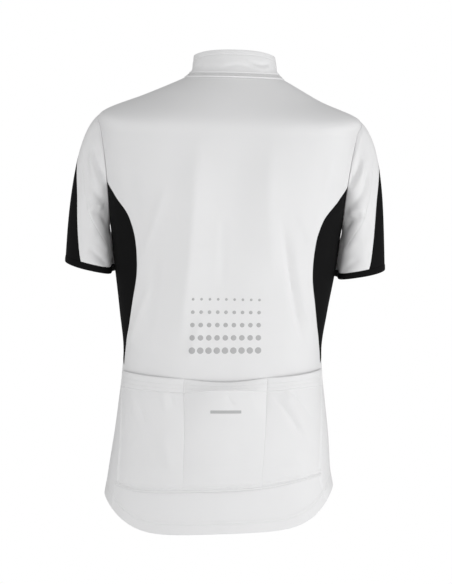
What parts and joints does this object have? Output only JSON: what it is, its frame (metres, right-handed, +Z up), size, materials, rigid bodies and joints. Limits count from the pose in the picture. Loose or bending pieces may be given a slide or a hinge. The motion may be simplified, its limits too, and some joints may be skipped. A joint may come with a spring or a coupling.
{
  "type": "short-sleeved cycling jersey",
  "caption": "Short-sleeved cycling jersey in its worn hollow form, with stand collar, full front zip, dark side inserts and a divided rear pocket.",
  "frame": {"origin": "midway between the two neck points, where the jersey is carried on the shoulders", "axes": "+Z up, +Y towards the front with the zip, +X towards the wearer's right"},
  "size_m": [0.5517, 0.2562, 0.8141],
  "materials": {
    "white_knit": "fine polyester knit with a slight satin sheen",
    "black_knit": "fine black polyester knit, dull",
    "zip_tape": "woven tape with a moulded coil",
    "zip_metal": "satin cast metal",
    "reflective_print": "flat silver-grey reflective print",
    "thread": "polyester sewing thread"
  },
  "bodies": {
    "jersey": {"back_panel": "white_knit", "rear_pocket": "white_knit", "collar": "white_knit", "collar_band": "white_knit", "front_left": "white_knit", "front_right": "white_knit", "side_insert_left": "black_knit", "side_insert_right": "black_knit", "sleeve_shoulder_left": "white_knit", "sleeve_shoulder_right": "white_knit", "sleeve_outer_left": "white_knit", "sleeve_outer_right": "white_knit", "sleeve_wedge_left": "black_knit", "sleeve_wedge_right": "black_knit", "cuff_left": "black_knit", "cuff_right": "black_knit", "zip_tape_left": "zip_tape", "zip_tape_right": "zip_tape", "zip_slider": "zip_metal"},
    "zip_pull": {"zip_pull": "zip_metal"}
  },
  "joints": [
    {"name": "zip_pull_swing", "type": "hinge", "parent": "jersey", "child": "zip_pull", "pos_m": [-0.003, 0.0848, -0.0294], "axis": [1, 0, 0], "range_deg": [0, 165]}
  ]
}
